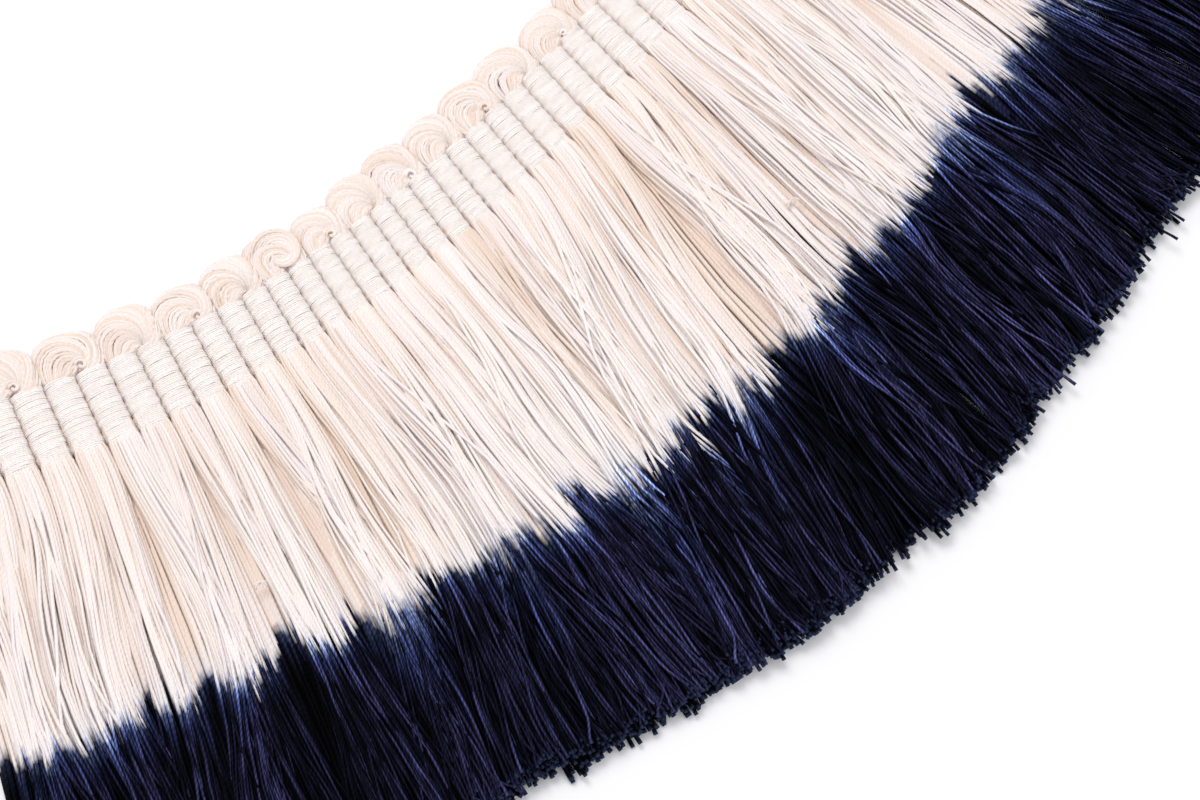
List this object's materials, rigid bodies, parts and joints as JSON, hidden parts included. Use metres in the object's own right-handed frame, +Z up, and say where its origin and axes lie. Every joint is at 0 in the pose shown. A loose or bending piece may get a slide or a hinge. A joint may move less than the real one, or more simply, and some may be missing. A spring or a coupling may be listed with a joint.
{
  "type": "tassel fringe trim",
  "caption": "Cut length of cotton tassel fringe: looped hank heads over bound necks, and a loose thread skirt dip-dyed navy at its ends, lying in a shallow bend.",
  "frame": {"origin": "on the table, at the middle of the flat back of the binding just right of the header's middle", "axes": "+X along the trim's length, -Y down the skirt, +Z up off the table it lies on"},
  "size_m": [0.2386, 0.1219, 0.0039],
  "materials": {
    "dipped_cotton": "soft two-ply cotton thread, cream, dipped in navy dye over the lower third",
    "binding_thread": "fine cream thread wound close round each neck"
  },
  "bodies": {
    "root": {"hank_01": "dipped_cotton", "hank_02": "dipped_cotton", "hank_03": "dipped_cotton", "hank_04": "dipped_cotton", "hank_05": "dipped_cotton", "hank_06": "dipped_cotton", "hank_07": "dipped_cotton", "hank_08": "dipped_cotton", "hank_09": "dipped_cotton", "hank_10": "dipped_cotton", "hank_11": "dipped_cotton", "hank_12": "dipped_cotton", "hank_13": "dipped_cotton", "hank_14": "dipped_cotton", "hank_15": "dipped_cotton", "hank_16": "dipped_cotton", "hank_17": "dipped_cotton", "hank_18": "dipped_cotton", "hank_19": "dipped_cotton", "hank_20": "dipped_cotton", "binding_01": "binding_thread", "binding_02": "binding_thread", "binding_03": "binding_thread", "binding_04": "binding_thread", "binding_05": "binding_thread", "binding_06": "binding_thread", "binding_07": "binding_thread", "binding_08": "binding_thread", "binding_09": "binding_thread", "binding_10": "binding_thread", "binding_11": "binding_thread", "binding_12": "binding_thread", "binding_13": "binding_thread", "binding_14": "binding_thread", "binding_15": "binding_thread", "binding_16": "binding_thread", "binding_17": "binding_thread", "binding_18": "binding_thread", "binding_19": "binding_thread", "binding_20": "binding_thread", "binding_21": "binding_thread", "binding_22": "binding_thread", "binding_23": "binding_thread", "binding_24": "binding_thread", "binding_25": "binding_thread", "binding_26": "binding_thread", "binding_27": "binding_thread", "binding_28": "binding_thread", "binding_29": "binding_thread", "binding_30": "binding_thread", "binding_31": "binding_thread", "binding_32": "binding_thread", "binding_33": "binding_thread", "binding_34": "binding_thread", "binding_35": "binding_thread", "binding_36": "binding_thread", "binding_37": "binding_thread", "binding_38": "binding_thread", "binding_39": "binding_thread", "binding_40": "binding_thread"}
  },
  "joints": []
}
